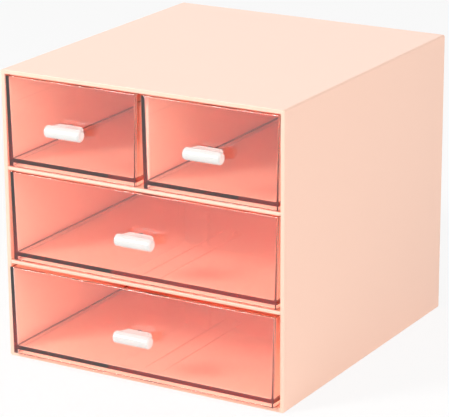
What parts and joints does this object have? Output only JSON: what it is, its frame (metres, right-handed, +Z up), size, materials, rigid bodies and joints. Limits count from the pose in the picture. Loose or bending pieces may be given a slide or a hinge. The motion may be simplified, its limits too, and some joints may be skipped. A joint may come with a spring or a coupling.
{
  "type": "desktop mini drawers",
  "caption": "Small desktop drawer unit: an opaque pastel case holding half-width drawers side by side over full-width ones, with clear tinted trays and white bar knobs.",
  "frame": {"origin": "middle of the case's underside, on the face that it stands on", "axes": "+Z up, fronts facing -Y, +X to the right seen from the front"},
  "size_m": [0.17, 0.1953, 0.16],
  "materials": {
    "case_plastic": "satin moulded, opaque peach",
    "tinted_plastic": "clear coral tint, high gloss",
    "knob_plastic": "glossy white",
    "screw_steel": "bright zinc plated"
  },
  "bodies": {
    "case": {"case_shell": "case_plastic", "back_panel": "case_plastic", "lower_shelf": "case_plastic", "upper_shelf": "case_plastic", "drawer_divider": "case_plastic"},
    "top_left_drawer_body": {"top_left_drawer": "tinted_plastic", "top_left_knob": "knob_plastic", "top_left_knob_screw": "screw_steel"},
    "top_right_drawer_body": {"top_right_drawer": "tinted_plastic", "top_right_knob": "knob_plastic", "top_right_knob_screw": "screw_steel"},
    "middle_drawer_body": {"middle_drawer": "tinted_plastic", "middle_knob": "knob_plastic", "middle_knob_screw": "screw_steel"},
    "bottom_drawer_body": {"bottom_drawer": "tinted_plastic", "bottom_knob": "knob_plastic", "bottom_knob_screw": "screw_steel"}
  },
  "joints": [
    {"name": "top_left_slide", "type": "slide", "parent": "case", "child": "top_left_drawer_body", "axis": [0, -1, 0], "range_m": [0, 0.13]},
    {"name": "top_right_slide", "type": "slide", "parent": "case", "child": "top_right_drawer_body", "axis": [0, -1, 0], "range_m": [0, 0.13]},
    {"name": "middle_slide", "type": "slide", "parent": "case", "child": "middle_drawer_body", "axis": [0, -1, 0], "range_m": [0, 0.0763]},
    {"name": "bottom_slide", "type": "slide", "parent": "case", "child": "bottom_drawer_body", "axis": [0, -1, 0], "range_m": [-0.003, 0.0733]}
  ]
}
